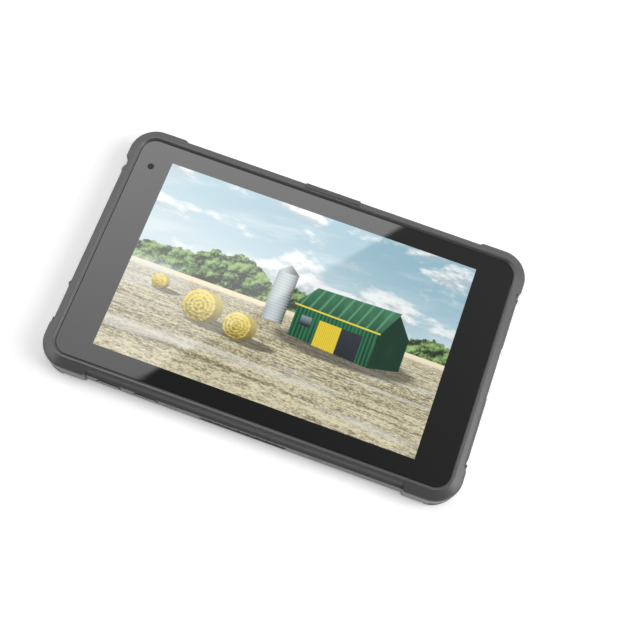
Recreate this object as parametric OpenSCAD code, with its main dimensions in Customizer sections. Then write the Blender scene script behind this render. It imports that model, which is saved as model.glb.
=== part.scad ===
// Rugged tablet data collector, lying on its back with the screen up.
// X runs along the screen, Y up the screen, Z up through the glass. Millimetres.
// The case is drawn as one moulded ring round the glass pocket: a profile in (d, z),
// where d is the distance outwards from the pocket's edge, is swept round it.

/* [Screen] */
// Width of the lit display
display_w = 172.2; // [160:0.2:180]
// Height of the lit display
display_h = 107.6; // [100:0.2:110]
// Width of the black border left and right of the display
border_x = 19; // [17:0.1:21]
// Width of the black border above and below the display
border_y = 9.6; // [8.6:0.1:12]
// Corner radius of the cover glass
glass_r = 7.6; // [6:0.2:10]
// Thickness of the cover glass
glass_t = 1.1; // [0.9:0.1:1.4]
// Thickness of the display panel
panel_t = 2.6; // [2.2:0.1:2.8]
// Distance of the front camera below the display's top edge
camera_drop = 5.9; // [4:0.1:9]

/* [Case] */
// Height from the table to the crest of the rim
case_t = 17.5; // [17.2:0.1:19]
// Height of the rim's crest above the glass
rim_rise = 0.9; // [0.5:0.1:1.2]
// Width of the rim from the glass pocket to the side wall
rim_w = 5.6; // [5.5:0.1:6.2]
// How far the corner bumpers stand out of the side walls
bumper_out = 1.3; // [1.1:0.1:1.8]
// Half the length of the straight wall between the bumpers, long sides
bumper_x = 84; // [82:0.5:87]
// Half the length of the straight wall between the bumpers, short sides
bumper_y = 48.8; // [48:0.1:51]
// Slope of the rim's top from the crest to the outer edge, in degrees
rim_slope = 27; // [24:1:28]
// Rounding of the bumper's upper edge
bumper_round = 2.4; // [1.8:0.1:2.5]
// Rounding of the side wall's upper edge
wall_round = 2.3; // [1.8:0.1:2.4]
// Radius of the hand scoop along the front wall
scoop_r = 4.2; // [3.8:0.1:4.4]
// Height of the line where the frame meets the rear housing
parting_z = 3.8; // [3.6:0.1:4]
// Thickness of the side walls at the parting line
wall_t = 3.8; // [3.7:0.05:4]
// Thickness of the rear housing's floor
floor_t = 1.4; // [1.2:0.1:1.8]
// Height of the rear floor above the table
foot_h = 0.6; // [0.4:0.1:0.8]

/* [Corner guards] */
// Height of the rubber corner guards
guard_h = 7.4; // [6.4:0.1:8]
// Thickness of the rubber guard outside the housing
guard_t = 2.8; // [2.4:0.1:3]
// Slant of the guards' ends on the long sides, in degrees
guard_slant = 22; // [0:1:30]

/* [Keys] */
// Length of a key's face
key_w = 12; // [10:0.1:13]
// Height of a key's face
key_h = 4.4; // [3.8:0.1:4.8]
// Distance of the power key from the middle of the front wall
power_key_x = 72.5; // [71:0.1:75]
// Distance of the volume rocker from the middle of the front wall
rocker_x = 52.2; // [52:0.1:54]
// Travel of the power key
key_travel = 0.5; // [0.3:0.05:0.5]
// How far the keys stand out of the wall
key_proud = 0.35; // [0.2:0.05:0.5]

/* [Doors] */
// Place of the port door's hinge pin up the left side
io_hinge_y = -27.4; // [-28:0.1:-26.9]
// Width of the finger notch beside the port door's free end
io_notch = 4.6; // [3.5:0.1:6]
// Width of the finger notch beside the free ends of the doors on the right
side_notch = 2.2; // [1.4:0.1:4]
// Place of the card door's hinge pin up the right side
card_hinge_y = 17.9; // [17:0.1:18]
// Place of the power inlet door's hinge pin up the right side
inlet_hinge_y = -10.9; // [-11:0.1:-10]
// Height of the doors' lower edge
door_z0 = 5; // [4.9:0.1:5.1]
// Height of the doors' upper edge
door_z1 = 14.2; // [14:0.1:14.4]
// Thickness of a door's face
door_t = 1.8; // [1.6:0.1:2]
// How far the doors on the right stand out of the wall
door_proud = 0.3; // [0.1:0.1:0.5]
// Diameter of a hinge pin
pin_d = 1.4; // [1:0.1:1.5]

/* [Dock] */
// Length of the docking connector's face
dock_w = 46; // [42:0.5:47]
// Number of spring contacts in each row
dock_pins = 8; // [6:1:9]
// Distance of the dock's guide slots from the middle
guide_x = 39; // [38:0.1:41]
// Length of a guide slot
guide_w = 8.4; // [7:0.1:9]
// Height of a guide slot
guide_h = 1.5; // [1.2:0.1:2]

/* [Rear mount] */
// Spacing of the accessory holes along the screen
mount_dx = 38.1; // [36:0.1:40]
// Spacing of the accessory holes up the screen
mount_dy = 30.2; // [28:0.1:32]
// Radius of the threaded hole in each insert
mount_hole_r = 1.65; // [1.3:0.05:2]

/* [Inside] */
// Length of the battery pack
battery_l = 84; // [76:1:86]
// Distance of the battery from the long sides of the glass pocket
battery_edge = 13.7; // [12.5:0.1:18]
// Thickness of the battery pack
battery_t = 6; // [5:0.1:6.2]
// Thickness of a circuit board
board_t = 1; // [0.8:0.1:1.2]
// Height of the middle of the ports
port_z = 8.5; // [8.4:0.05:8.6]

/* [Fits] */
// Gap between the glass and its pocket
glass_gap = 0.35; // [0.2:0.05:0.5]
// Gap round a key in its hole
key_gap = 0.35; // [0.3:0.05:0.4]
// Gap round a door in its pocket
door_gap = 0.3; // [0.25:0.05:0.4]
// Radial clearance of a hinge pin in the door
pin_gap = 0.05; // [0.03:0.01:0.08]
// Gap between pieces of the case that are pressed together
snug = 0.1; // [0.05:0.05:0.2]

/* [Hidden] */
$fn = 48;
// The glass, its pocket, and the stack of pieces under the glass
glass_w = display_w + 2 * border_x;
glass_h = display_h + 2 * border_y;
pocket_x = glass_w / 2 + glass_gap;
pocket_y = glass_h / 2 + glass_gap;
pocket_r = glass_r + glass_gap;
glass_z = case_t - rim_rise - glass_t;
gasket_t = 0.3;
ledge_z = glass_z - gasket_t;
ledge_t = 1.3;
ledge_w = 2.6;
ledge_under = ledge_z - ledge_t;
panel_z = glass_z - panel_t;
panel_side = 4.6;
panel_edge = 3.5;
chassis_t = 1.2;
chassis_z = panel_z - chassis_t;
chassis_out = rim_w - wall_t - 0.3;
// The walls, as distances out from the pocket's edge
bumper_d = rim_w + bumper_out;
wall_in = rim_w - wall_t;
crest_in = 1.15;
crest_out = 1.7;
seam_in = 0.25;
// The scoop under the front rim: its inner edge, lip and centre, and the S at its ends
scoop_in = rim_w - 2.3;
scoop_lip = 0.35;
scoop_d = scoop_in + scoop_r;
scoop_end = acos((rim_w - scoop_d) / scoop_r);
front_half = bumper_x + 1;
front_s_r = 2.8;
front_s_in = scoop_in - 0.5;
// Run of the bumpers' ends on the other sides, for each millimetre out
flare = 1.7;
// Places of the four sides: the turn that faces each one outwards
BACK = 0;
LEFT = 90;
FRONT = 180;
RIGHT = 270;
// Ends of the back and front guards on the short sides, as distances from the middle
guard_end_back = bumper_y + 1.5;
guard_end_front = bumper_y - 1.9;
guard_in = bumper_d - guard_t;
guard_tab_t = 1.8;
guard_tab_seat = 1.5;
guard_round = 2.2;
foot_in = 1.2;
foot_t = 0.5;
// Keys
key_z = 9.3;
key_dish = 0.6;
key_rim = 0.55;
key_flange = 0.7;
flange_t = 0.9;
flange_d = wall_in - 0.4;
key_board_d = wall_in - 3.8;
key_board_over = 9;
key_board_l = power_key_x - rocker_x + 2 * key_board_over;
key_board_t = 0.6;
bracket_t = 0.8;
rocker_pin_r = 0.5;
rocker_pin_d = wall_in - 1.9;
rocker_half = 4;
// Doors
io_out = rim_w;
side_out = rim_w + door_proud;
pocket_floor = wall_in + 1.2;
knuckle_r = 1.45;
io_pin_d = rim_w - 1;
side_pin_d = rim_w - 1.45;
io_door_l = bumper_y - io_notch - io_hinge_y;
card_door_l = bumper_y - side_notch - card_hinge_y;
inlet_door_l = guard_end_front - side_notch + inlet_hinge_y;
door_corner = 1.6;
door_swing = 105;
inlet_tab_top = door_z0 + 4.5;
tab_w = 2.5;
tab_out = bumper_d - 0.6;
tab_top = case_t - 3.2;
door_tab_top = door_z1 - 0.6;
ear_z = door_z1 + 0.9;
ear_wall = 0.15;
pin_r = pin_d / 2;
pin_end = 0.15;
// Rear screws: bosses near the corners and on the long sides
boss_r = 2.8;
screw_hole_r = 1.25;
screw_r = 1.2;
screw_head_r = 2.3;
screw_head_t = 1.5;
screw_top = 11;
corner_in = pocket_r - 2.6;
screw_x = 28;
screw_places = concat(
    [for (x = [-1, 1], y = [-1, 1]) [x * (pocket_x - corner_in), y * (pocket_y - corner_in)]],
    [for (x = [-1, 1], y = [-1, 1]) [x * screw_x, y * (pocket_y - 2.2)]]);
// Screws that hold the chassis plate to the frame's ledge
chassis_screw_r = 0.8;
chassis_head_r = 1.7;
chassis_head_t = 0.9;
chassis_boss_r = 2.2;
chassis_screw_places = [for (x = [-1, 0, 1], y = [-1, 1])
    [x * (display_w / 2 + 2), y * (pocket_y - 1.2)]];
// Weight-saving openings in the chassis plate
chassis_slot_w = 24;
chassis_slot_h = 70;
chassis_slot_x = 70;
// Boards, battery and ports
can_w = 26;
can_l = 24;
can_h = 1.8;
board_z = port_z - board_t / 2 - 0.1;
battery_x = 19;
board_x0 = -pocket_x + 2.4;
board_x1 = battery_x - battery_l / 2 - 4;
sub_x0 = battery_x + battery_l / 2 + 4;
sub_x1 = pocket_x - 2.4;
board_half_y = pocket_y - 5.4;
battery_w = 2 * (pocket_y - battery_edge);
port_face = wall_in + 1;
// Each port on the left side: place up the side, width, height and depth of its body
usb_a = [io_hinge_y + 0.79 * io_door_l, 13.2, 5.8, 14];
hdmi = [io_hinge_y + 0.535 * io_door_l, 6.6, 3.2, 8];
usb_c = [io_hinge_y + 0.35 * io_door_l, 9, 3.2, 8];
jack = [io_hinge_y + 0.17 * io_door_l, 6, 5, 12];
// The same on the right side
card = [card_hinge_y + 0.5 * card_door_l, 16, 3.4, 17];
inlet = [inlet_hinge_y - 0.5 * inlet_door_l, 9, 5.6, 13];
standoff_r = 1.8;
standoff_hole_r = 0.6;
standoffs = [for (x = [board_x0 + 4, board_x1 - 4, sub_x0 + 4, sub_x1 - 4], y = [-1, 1])
    [x, y * (board_half_y - 9)]];
// The rear housing's floor, panel line, seal and threaded inserts
rear_floor_z = foot_h + floor_t;
line_l = 150;
line_h = 84;
line_w = 0.8;
line_r = 9;
seal_w = 1;
seal_h = 0.5;
seal_d = 3;
insert_r = 2.8;
insert_l = 4;
// Cameras, flash, speaker and microphone
camera_x = -(display_w + border_x) / 2;
camera_y = display_h / 2 - camera_drop;
rear_cam = [sub_x0 - 17.02, pocket_y - battery_edge / 2];
rear_cam_r = 4.4;
rear_cam_module = 8.4;
flash_dx = 12;
flash_r = 1.7;
speaker_c = [0.59 * pocket_x, -pocket_y + battery_edge / 2];
speaker_l = 20;
speaker_w = 9;
speaker_t = 4.2;
mesh_t = 0.3;
mesh_pitch = 2.4;
mic = [pocket_x - 0.3, display_h / 2 - 0.4];
mic_w = 3;
mic_hole_r = 0.5;
// The grip pad on the back wall
pad_half = 15.5;
pad_proud = 0.6;
pad_foot = 6;
// The dock's connector, contacts and guide slots
dock_h = 5;
dock_r = 1.4;
dock_pitch = dock_w / (dock_pins + 1);
contact_r = 0.8;
contact_dz = 1.1;
contact_sunk = 0.3;
dock_face = rim_w - 0.3;
dock_places = [for (i = [0:dock_pins - 1], z = [-1, 1])
    [(i - (dock_pins - 1) / 2) * dock_pitch, port_z + z * contact_dz]];
guide_wall = 0.35;
guide_depth = 2;
guide_z = key_z - 0.4;

// ---------- Shared shapes ----------

// Points along an arc
function arc(cx, cy, r, a0, a1, n = 7) =
    [for (i = [0:n]) [cx + r * cos(a0 + (a1 - a0) * i / n), cy + r * sin(a0 + (a1 - a0) * i / n)]];

// Height of the rim's sloping top at d, and of the centre of an edge rounding of radius r
function slope_z(d) = case_t - (d - crest_out) * tan(rim_slope);
function round_z(d, r) = slope_z(d - r) - r / cos(rim_slope);

module rounded_rect(w, h, r) {
    square([w - 2 * r, h], center = true);
    square([w, h - 2 * r], center = true);
    for (x = [-1, 1], y = [-1, 1])
        translate([x * (w / 2 - r), y * (h / 2 - r)]) circle(r);
}

module pill(w, h) {
    square([w - h, h], center = true);
    for (x = [-1, 1]) translate([x * (w - h) / 2, 0]) circle(h / 2);
}

// A plate as wide as the glass pocket plus out on every side
module slab(out, z0, z1) {
    translate([0, 0, z0]) linear_extrude(z1 - z0)
        rounded_rect(2 * (pocket_x + out), 2 * (pocket_y + out), pocket_r + out);
}

// Places children on one side wall: x along the wall, y out of the pocket's edge, z up
module side(turn) {
    half = turn % 180 == 0 ? pocket_y : pocket_x;
    rotate([0, 0, turn]) translate([0, half, 0]) children();
}

// Runs a (d, z) profile along a side wall
module bar(length) {
    rotate([90, 0, 90]) linear_extrude(length, center = true) children();
}

// Sweeps a (d, z) profile all round the pocket
module ring() {
    for (turn = [0:90:270]) {
        side(turn) bar(2 * (turn % 180 == 0 ? pocket_x : pocket_y) - 2 * pocket_r) children();
    }
    for (turn = [0:90:270]) corner(turn) children();
}

// Sweeps a (d, z) profile round one corner; turn 0 is the corner at +X +Y
module corner(turn) {
    x = turn == 0 || turn == 270 ? 1 : -1;
    y = turn < 180 ? 1 : -1;
    translate([x * (pocket_x - pocket_r), y * (pocket_y - pocket_r), 0]) rotate([0, 0, turn])
        rotate_extrude(angle = 90) translate([pocket_r, 0]) children();
}

// Extrudes an outline drawn on the wall from d0 out to d1
module through_wall(d0, d1) {
    translate([0, d1, 0]) rotate([90, 0, 0]) linear_extrude(d1 - d0) children();
}

// ---------- Front frame ----------

// Section of the frame through a bumper: ledge, glass pocket, bevel, crest, slope and wall
module frame_profile() {
    polygon(concat(
        [[wall_in, parting_z], [bumper_d, parting_z]],
        arc(bumper_d - bumper_round, round_z(bumper_d, bumper_round), bumper_round,
            0, 90 - rim_slope),
        [[crest_out, case_t], [crest_in, case_t - 0.06], [crest_in - 0.25, case_t - 0.22]],
        [[0.2, ledge_z + gasket_t + glass_t], [0, ledge_z + gasket_t + glass_t - 0.2]],
        [[0, ledge_z], [-ledge_w, ledge_z], [-ledge_w, ledge_under], [wall_in, ledge_under]]));
}

// What is cut from the bumper section to leave a plain side wall with a rounded edge
module wall_cut_profile() {
    polygon(concat(
        [[bumper_d + 2, parting_z - 1], [rim_w, parting_z - 1]],
        arc(rim_w - wall_round, round_z(rim_w, wall_round) - 0.03, wall_round, 0, 90 - rim_slope),
        [[rim_w - wall_round, case_t + 1], [bumper_d + 2, case_t + 1]]));
}

// The same along the front, where a hollow for the fingers is scooped out under the rim
module front_cut_profile() {
    scoop_z = slope_z(scoop_in) - scoop_lip;
    polygon(concat(
        [[bumper_d + 2, parting_z - 1], [rim_w, parting_z - 1]],
        arc(scoop_d, scoop_z, scoop_r, 360 - scoop_end, 180),
        [[scoop_in - scoop_lip, slope_z(scoop_in - scoop_lip) + 0.02]],
        [[scoop_in - scoop_lip, case_t + 1], [bumper_d + 2, case_t + 1]]));
}

// Plan of a side cut, with bumper ends that flare out at a shallow angle
module side_cut(turn, half) {
    run = flare * (bumper_out + 2);
    side(turn) intersection() {
        bar(2 * half + 2 * run + 4) wall_cut_profile();
        linear_extrude(case_t + 2) polygon([
            [-half, 0], [half, 0], [half, rim_w], [half + run, bumper_d + 2],
            [half + run, bumper_d + 3], [-half - run, bumper_d + 3],
            [-half - run, bumper_d + 2], [-half, rim_w]]);
    }
}

// Plan of the front cut, whose ends turn out round the bumpers in an S
module front_cut() {
    out_r = bumper_d - front_s_in - front_s_r;
    right = concat([[0, front_s_in]],
        arc(front_half - front_s_r, front_s_in + front_s_r, front_s_r, -90, 0),
        arc(front_half + out_r, bumper_d - out_r, out_r, 180, 90),
        [[front_half + out_r, bumper_d + 3], [0, bumper_d + 3]]);
    side(FRONT) intersection() {
        bar(2 * front_half + 14) front_cut_profile();
        linear_extrude(case_t + 2) {
            polygon(right);
            mirror([1, 0, 0]) polygon(right);
        }
    }
}

// Repeats the corner at +X +Y at another corner
module at_corner(x, y) {
    mirror([x < 0 ? 1 : 0, 0, 0]) mirror([0, y < 0 ? 1 : 0, 0]) children();
}

// Section of a guard's wall; grown by a clearance, it is the recess that the guard lies in
module guard_profile(grow) {
    if (grow > 0) {
        translate([guard_in - grow, -1]) square([guard_t + 1 + grow, guard_h + 1 + grow]);
    } else {
        polygon(concat([[guard_in, 0]],
            arc(bumper_d - guard_round, guard_round, guard_round, -90, 0),
            [[bumper_d, guard_h], [guard_in, guard_h]]));
    }
}

// Section of the foot that the guard has at its corner, let into the housing's floor
module foot_profile(grow) {
    z0 = grow > 0 ? -1 : 0;
    translate([-foot_in - grow, z0])
        square([foot_in + guard_in + guard_t / 2 + grow, foot_h + foot_t + grow - z0]);
}

// A guard's wall round the corner and along the short side, with its foot
module guard_space(y, grow) {
    end = (y > 0 ? guard_end_back : guard_end_front) - grow;
    run = pocket_y - pocket_r - end;
    difference() {
        corner(0) {
            guard_profile(grow);
            foot_profile(grow);
        }
        // The slanted end on the long side
        translate([pocket_x - pocket_r - grow, pocket_y - pocket_r, 0]) rotate([0, guard_slant, 0])
            translate([-20, -1, -20]) cube([20, 30, 60]);
    }
    side(RIGHT) translate([-end - run / 2, 0, 0]) bar(run) guard_profile(grow);
    if (y < 0) guard_tab(grow);
}

// The tab at a front guard's end, a rib that runs up the side wall beside the bumper
module guard_tab(grow) {
    z0 = grow > 0 ? -1 : 0.6;
    translate([pocket_x + rim_w - guard_tab_seat - grow, guard_end_front - grow, z0])
        cube([tab_out - rim_w + guard_tab_seat + grow, guard_tab_t + 2 * grow, tab_top + grow - z0]);
}

// Hole for a key, with a shallow dish round it
module key_hole(x) {
    side(FRONT) translate([x, 0, key_z]) {
        through_wall(wall_in - 1, rim_w + 1) pill(key_w + 2 * key_gap, key_h + 2 * key_gap);
        through_wall(rim_w - key_dish, rim_w + 1)
            pill(key_w + 2 * key_gap + 2 * key_rim, key_h + 2 * key_gap + 2 * key_rim);
    }
}

// Room behind a door's pin, so that its knuckle turns and its open face clears the wall
function door_end(pin_at, out) = door_gap + max(knuckle_r,
    (out - pin_at - (rim_w - pin_at) * cos(door_swing)) / sin(door_swing));

// Pocket for a door whose pin is at d = pin_at: the recess and the groove for its knuckle
module door_pocket(length, pin_at, out) {
    end = door_end(pin_at, out);
    mid_z = (door_z0 + door_z1) / 2;
    h = door_z1 - door_z0 + 2 * door_gap;
    translate([0, 0, mid_z]) through_wall(pocket_floor, bumper_d + 2)
        door_outline(-end, length + door_gap, h, door_corner + door_gap);
    translate([0, pin_at, mid_z - h / 2]) cylinder(r = knuckle_r + door_gap, h = h);
}

// A door's outline on the wall: square at the hinge, rounded at the free end
module door_outline(from, to, h, r) {
    translate([(from + to) / 2, 0]) rounded_rect(to - from, h, r);
    translate([from, -h / 2]) square([(to - from) / 2, h]);
}

// Finger notch beside a door's free end, through the rim's outer edge
module door_notch(from, to) {
    translate([from, rim_w - 1.2, door_z0]) cube([to - from, bumper_out + 3, case_t]);
}

module port_hole(port) {
    translate([0, 0, port_z]) translate([port[0], 0, 0]) through_wall(wall_in - 1, pocket_floor + 1)
        rounded_rect(port[1] + 2 * snug, port[2] + 2 * snug, 0.6);
}

module dock_hole(grow) {
    translate([0, 0, port_z]) through_wall(wall_in - 1, rim_w + 1)
        rounded_rect(dock_w + 2 * grow, dock_h + 2 * grow, dock_r + grow);
}

module guide_holes(grow, depth) {
    for (x = [-guide_x, guide_x]) translate([x, 0, guide_z])
        through_wall(rim_w - depth, rim_w + 1) pill(guide_w + 2 * grow, guide_h + 2 * grow);
}

// Section of the ridged grip pad on the back wall, and of the seat that it lies in
module pad_profile(grow) {
    top_d = rim_w - wall_round - 0.9;
    polygon(concat(
        [[rim_w - 1.1 - grow, pad_foot - grow],
            [rim_w + (grow > 0 ? 2 : pad_proud), pad_foot - grow]],
        grow > 0 ? [[rim_w + 2, case_t + 1]] :
            arc(rim_w + pad_proud - wall_round,
                round_z(rim_w + pad_proud, wall_round) + pad_proud / 2, wall_round,
                0, 90 - rim_slope),
        [[top_d, grow > 0 ? case_t + 1 : slope_z(top_d) + pad_proud / 2]],
        [[top_d - grow, slope_z(top_d) - 0.8 - grow], [rim_w - 1.6 - grow, slope_z(rim_w) - 1.2]]));
}

module front_frame() {
    color("#4b4d50") difference() {
        union() {
            difference() {
                ring() frame_profile();
                side_cut(BACK, bumper_x);
                side_cut(LEFT, bumper_y);
                side_cut(RIGHT, bumper_y);
                front_cut();
            }
            for (p = screw_places) translate([p[0], p[1], parting_z])
                cylinder(r = boss_r, h = ledge_under - parting_z + 0.2);
            for (p = chassis_screw_places) translate([p[0], p[1], panel_z])
                cylinder(r = chassis_boss_r, h = ledge_under - panel_z + 0.2);
            side(LEFT) translate([io_hinge_y, io_pin_d, parting_z])
                cylinder(r = knuckle_r + ear_wall, h = ear_z - parting_z);
        }
        for (x = [-1, 1], y = [-1, 1]) at_corner(x, y) guard_space(y, snug);
        key_hole(power_key_x);
        key_hole(rocker_x);
        side(FRONT) dock_hole(snug);
        side(FRONT) guide_holes(guide_wall, guide_depth + guide_wall);
        side(BACK) bar(2 * pad_half + 2 * snug) pad_profile(snug);
        side(LEFT) {
            translate([io_hinge_y, 0, 0]) door_pocket(io_door_l, io_pin_d, io_out);
            door_notch(bumper_y - io_notch + door_gap - 0.1, bumper_y);
            translate([io_hinge_y, io_pin_d, 0]) hinge_pin();
            for (port = [usb_a, hdmi, usb_c, jack]) port_hole(port);
        }
        side(RIGHT) {
            translate([-card_hinge_y, 0, 0]) mirror([1, 0, 0])
                door_pocket(card_door_l, side_pin_d, side_out);
            door_notch(-bumper_y, -bumper_y + side_notch - door_gap + 0.1);
            translate([-inlet_hinge_y, 0, 0]) door_pocket(inlet_door_l, side_pin_d, side_out);
            for (y = [card_hinge_y, inlet_hinge_y]) translate([-y, side_pin_d, 0]) hinge_pin();
            mirror([1, 0, 0]) {
                port_hole(card);
                port_hole(inlet);
            }
        }
        for (p = screw_places) translate([p[0], p[1], parting_z - 1])
            cylinder(r = screw_hole_r, h = screw_top - parting_z + 1.5);
        for (p = chassis_screw_places) translate([p[0], p[1], panel_z - 1])
            cylinder(r = chassis_screw_r + 0.05, h = 2.8);
        translate([mic[0], mic[1], ledge_under - 1]) cylinder(r = mic_hole_r, h = case_t);
    }
}

// ---------- Rear housing, seal and guards ----------

module rear_profile() {
    out = rim_w - seam_in;
    r = parting_z - foot_h - 0.9;
    polygon(concat(
        [[wall_in, parting_z], [wall_in, rear_floor_z], [-6, rear_floor_z], [-6, foot_h]],
        arc(out - r, foot_h + r, r, -90, 0),
        [[out, parting_z]]));
}

module rear_housing() {
    color("#3d3f42") difference() {
        union() {
            ring() rear_profile();
            slab(-5, foot_h, rear_floor_z);
            for (p = screw_places) translate([p[0], p[1], foot_h])
                cylinder(r = boss_r + 0.4, h = parting_z - foot_h);
            for (x = [-1, 1], y = [-1, 1]) translate([x * mount_dx / 2, y * mount_dy / 2, foot_h])
                cylinder(r = insert_r + 1.4, h = insert_l + 0.2);
            // Stiffening ribs inside the floor, clear of the battery
            for (x = [battery_x - battery_l / 2 - 2.4, battery_x + battery_l / 2 + 1.2])
                translate([x, -battery_w / 2, rear_floor_z - 0.2]) cube([1.2, battery_w, 2.2]);
        }
        for (x = [-1, 1], y = [-1, 1]) at_corner(x, y) guard_space(y, snug);
        ring() seal_profile();
        for (p = screw_places) translate([p[0], p[1], 0]) {
            cylinder(r = screw_hole_r + 0.2, h = parting_z + 1);
            cylinder(r = screw_head_r + 0.2, h = foot_h + screw_head_t + 0.3);
        }
        for (x = [-1, 1], y = [-1, 1]) translate([x * mount_dx / 2, y * mount_dy / 2, 0])
            cylinder(r = insert_r, h = insert_l + 2);
        translate([rear_cam[0], rear_cam[1], 0]) {
            cylinder(r = rear_cam_r + 0.1, h = foot_h + 0.8);
            cylinder(r = rear_cam_r - 0.9, h = 4);
            translate([flash_dx, 0, 0]) cylinder(r = flash_r + 0.1, h = 4);
        }
        // Grille of the speaker, and the seat of its mesh inside the floor
        for (x = [-3:3], y = [-1:1])
            translate([speaker_c[0] + x * mesh_pitch, speaker_c[1] + y * mesh_pitch, 0])
                cylinder(r = 0.7, h = 4);
        translate([speaker_c[0], speaker_c[1], rear_floor_z - mesh_t]) linear_extrude(1)
            rounded_rect(speaker_l + 0.2, speaker_w + 0.2, 1.6);
        // Shallow panel lines pressed in the underside
        translate([0, 0, -1]) linear_extrude(foot_h + 1.3) panel_line();
    }
}

// A groove that frames the middle of the rear housing
module panel_line() {
    difference() {
        rounded_rect(line_l, line_h, line_r);
        rounded_rect(line_l - 2 * line_w, line_h - 2 * line_w, line_r - line_w);
    }
}

module seal_profile() {
    translate([seal_d, parting_z - seal_h]) square([seal_w, seal_h + 0.01]);
}

module housing_seal() {
    color("#9a3b32") ring() translate([seal_d, parting_z - seal_h]) square([seal_w, seal_h]);
}

module guard(x, y) {
    color("#2b2c2e") at_corner(x, y) guard_space(y, 0);
}

// ---------- Glass and display ----------

module cover_glass() {
    color("#1a1b1e") slab(-glass_gap, glass_z, glass_z + glass_t);
}

module glass_gasket() {
    color("#202020") difference() {
        slab(-glass_gap, ledge_z, ledge_z + gasket_t);
        slab(-ledge_w, ledge_z - 1, glass_z + 1);
    }
}

module display_panel() {
    color("#6f93ad") translate([0, 0, panel_z]) linear_extrude(panel_t)
        rounded_rect(display_w + 2 * panel_side, display_h + 2 * panel_edge, 1);
}

module chassis_plate() {
    color("#8f9194") difference() {
        union() {
            slab(chassis_out, chassis_z, panel_z);
            // Upstand that bears on the frame's ledge
            difference() {
                slab(chassis_out, chassis_z, ledge_under);
                slab(-ledge_w + 0.6, chassis_z - 1, ledge_under + 1);
            }
            // Standoffs that carry the two circuit boards
            for (p = standoffs) translate([p[0], p[1], board_z + board_t])
                cylinder(r = standoff_r, h = chassis_z - board_z - board_t + 0.2);
        }
        for (p = screw_places) translate([p[0], p[1], chassis_z - 1])
            cylinder(r = boss_r + 0.3, h = 6);
        for (p = chassis_screw_places) translate([p[0], p[1], chassis_z - 1]) {
            cylinder(r = chassis_screw_r + 0.3, h = 6);
            translate([0, 0, 1 + chassis_t]) cylinder(r = chassis_boss_r + 0.3, h = 6);
        }
        for (p = standoffs) translate([p[0], p[1], board_z]) cylinder(r = standoff_hole_r, h = 2.6);
        for (x = [-1, 1]) translate([x * chassis_slot_x, 0, chassis_z - 1])
            linear_extrude(chassis_t + 2) rounded_rect(chassis_slot_w, chassis_slot_h, 4);
        // Clearance for the keys' flanges and for the microphone
        side(FRONT) translate([(rocker_x + power_key_x) / 2, 4.6, chassis_z + chassis_t / 2])
            cube([power_key_x - rocker_x + key_w + 4, 10, 6], center = true);
        translate([mic[0] - mic_w / 2 - snug, mic[1] - mic_w / 2, panel_z])
            cube([mic_w + 4, mic_w, 4]);
    }
}

module chassis_screws() {
    color("#b9bcc0") for (p = chassis_screw_places) translate([p[0], p[1], 0]) difference() {
        union() {
            translate([0, 0, chassis_z - chassis_head_t])
                cylinder(r = chassis_head_r, h = chassis_head_t);
            translate([0, 0, chassis_z - 0.2]) cylinder(r = chassis_screw_r, h = 2.7);
        }
        translate([0, 0, chassis_z - chassis_head_t - 0.1]) cylinder(r = 0.8, h = 0.6, $fn = 6);
    }
}

module front_camera() {
    color("#15161a") translate([camera_x, camera_y, panel_z]) {
        translate([0, 0, 0.6]) cube([6, 6, 1.2], center = true);
        cylinder(r = 1.9, h = panel_t - 0.1);
    }
}

module microphone() {
    color("#c8b27a") translate([mic[0] - mic_w / 2, mic[1] - mic_w / 2 + snug, panel_z])
        cube([mic_w, mic_w - 2 * snug, ledge_under - panel_z]);
}

// ---------- Boards, battery and ports ----------

module port_cutouts(turn, ports) {
    side(turn) for (port = ports)
        translate([port[0] - port[1] / 2 - snug, port_face - port[3] - snug, board_z - 1])
            cube([port[1] + 2 * snug, port[3] + 8, board_t + 2]);
}

// Holes for the standoffs' screws and for the case's screw bosses
module board_holes() {
    for (p = standoffs) translate([p[0], p[1], board_z - 1])
        cylinder(r = standoff_hole_r + 0.2, h = 3);
    for (p = screw_places) translate([p[0], p[1], board_z - 1]) cylinder(r = boss_r + 0.3, h = 3);
}

module main_board() {
    color("#1f5a3a") difference() {
        translate([board_x0, -board_half_y, board_z])
            cube([board_x1 - board_x0, 2 * board_half_y, board_t]);
        port_cutouts(LEFT, [usb_a, hdmi, usb_c, jack]);
        board_holes();
    }
}

module shield_cans() {
    can_x = (board_x0 + board_x1) / 2;
    color("#a9adb1") for (y = [-0.24, 0.45]) translate([can_x, y * board_half_y, board_z - can_h])
        difference() {
            translate([-can_w / 2, -can_l / 2, 0]) cube([can_w, can_l, can_h]);
            // Row of vent holes
            for (i = [-3.5:3.5]) translate([i * can_w / 9, -can_l / 2 + 3, -1]) cylinder(r = 0.6, h = 2);
        }
}

module sub_board() {
    color("#1f5a3a") difference() {
        translate([sub_x0, -board_half_y, board_z])
            cube([sub_x1 - sub_x0, 2 * board_half_y, board_t]);
        mirror([1, 0, 0]) port_cutouts(LEFT, [card, inlet]);
        board_holes();
    }
}

module battery_pack() {
    color("#34383d") translate([battery_x, 0, chassis_z - battery_t]) {
        for (y = [-1, 1]) translate([0, y * (battery_w / 4 - 0.2), 0]) linear_extrude(battery_t)
            rounded_rect(battery_l, battery_w / 2 - 0.6, 2.4);
        translate([-battery_l / 2 + 1, -battery_w / 4, battery_t / 2])
            cube([5, battery_w / 2, battery_t / 2]);
    }
}

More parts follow.
